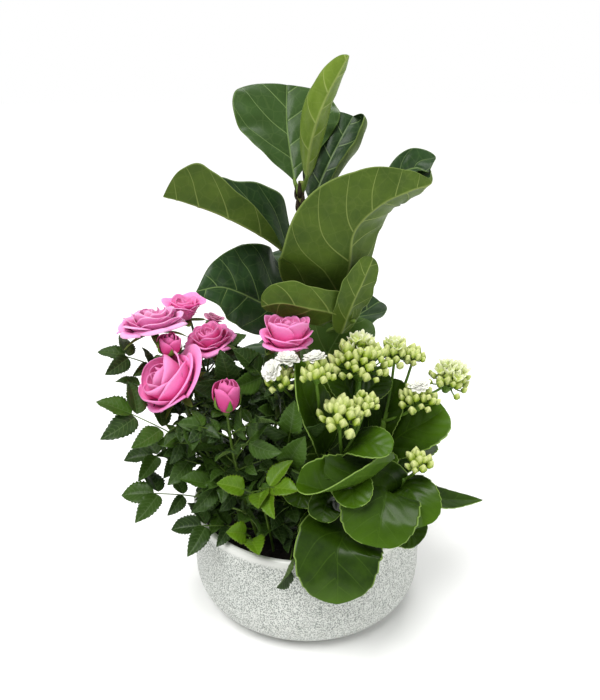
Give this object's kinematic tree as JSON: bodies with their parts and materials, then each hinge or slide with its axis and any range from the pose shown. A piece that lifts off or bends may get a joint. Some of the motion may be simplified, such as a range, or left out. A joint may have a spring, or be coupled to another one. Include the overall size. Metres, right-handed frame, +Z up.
{
  "type": "mixed plant bowl",
  "caption": "Low round white ceramic bowl planted with a fiddle-leaf fig at the back, a pink miniature rose and a white flowering kalanchoe.",
  "frame": {"origin": "centre of the bowl's flat underside, on the surface it stands on", "axes": "+Z up along the bowl's axis; the fig stands at the back (+Y), the rose at the front left (-X -Y) and the kalanchoe at the front right (+X -Y)"},
  "size_m": [0.315, 0.2606, 0.4544],
  "materials": {
    "bowl": "satin",
    "soil": "matte",
    "fig_bark": "matte",
    "fig_leaf": "satin",
    "fig_leaf_young": "satin",
    "rose_leaf": "satin",
    "rose_leaf_new": "satin",
    "rose_petal": "matte",
    "kalanchoe_leaf": "satin",
    "kalanchoe_bud": "matte",
    "kalanchoe_petal": "matte"
  },
  "bodies": {
    "root": {"bowl": "bowl", "soil": "soil", "fig_trunk": "fig_bark", "fig_leaf_1": "fig_leaf", "fig_leaf_2": "fig_leaf_young", "fig_leaf_3": "fig_leaf", "fig_leaf_4": "fig_leaf", "fig_leaf_5": "fig_leaf", "fig_leaf_6": "fig_leaf", "fig_leaf_7": "fig_leaf", "fig_leaf_8": "fig_leaf", "fig_leaf_9": "fig_leaf", "fig_leaf_10": "fig_leaf", "fig_leaf_11": "fig_leaf", "kalanchoe_florets_1": "kalanchoe_petal", "kalanchoe_florets_2": "kalanchoe_petal", "kalanchoe_florets_3": "kalanchoe_petal", "kalanchoe_head_1": "kalanchoe_bud", "kalanchoe_head_2": "kalanchoe_bud", "kalanchoe_head_3": "kalanchoe_bud", "kalanchoe_head_4": "kalanchoe_bud", "kalanchoe_head_5": "kalanchoe_bud", "kalanchoe_head_6": "kalanchoe_bud", "kalanchoe_head_7": "kalanchoe_bud", "kalanchoe_head_8": "kalanchoe_bud", "kalanchoe_head_9": "kalanchoe_bud", "kalanchoe_head_10": "kalanchoe_bud", "kalanchoe_stem_1": "kalanchoe_leaf", "kalanchoe_stem_2": "kalanchoe_leaf", "kalanchoe_stem_3": "kalanchoe_leaf", "kalanchoe_stem_4": "kalanchoe_leaf", "kalanchoe_stem_5": "kalanchoe_leaf", "rose_bloom_1": "rose_petal", "rose_bloom_2": "rose_petal", "rose_bloom_3": "rose_petal", "rose_bloom_4": "rose_petal", "rose_bloom_5": "rose_petal", "rose_bloom_6": "rose_petal", "rose_bloom_7": "rose_petal", "rose_bloom_8": "rose_petal", "rose_shoot_1": "rose_leaf_new", "rose_shoot_2": "rose_leaf_new", "rose_stem_1": "rose_leaf", "rose_stem_2": "rose_leaf", "rose_stem_3": "rose_leaf", "rose_stem_4": "rose_leaf", "rose_stem_5": "rose_leaf", "rose_stem_6": "rose_leaf", "rose_stem_7": "rose_leaf"}
  },
  "joints": []
}
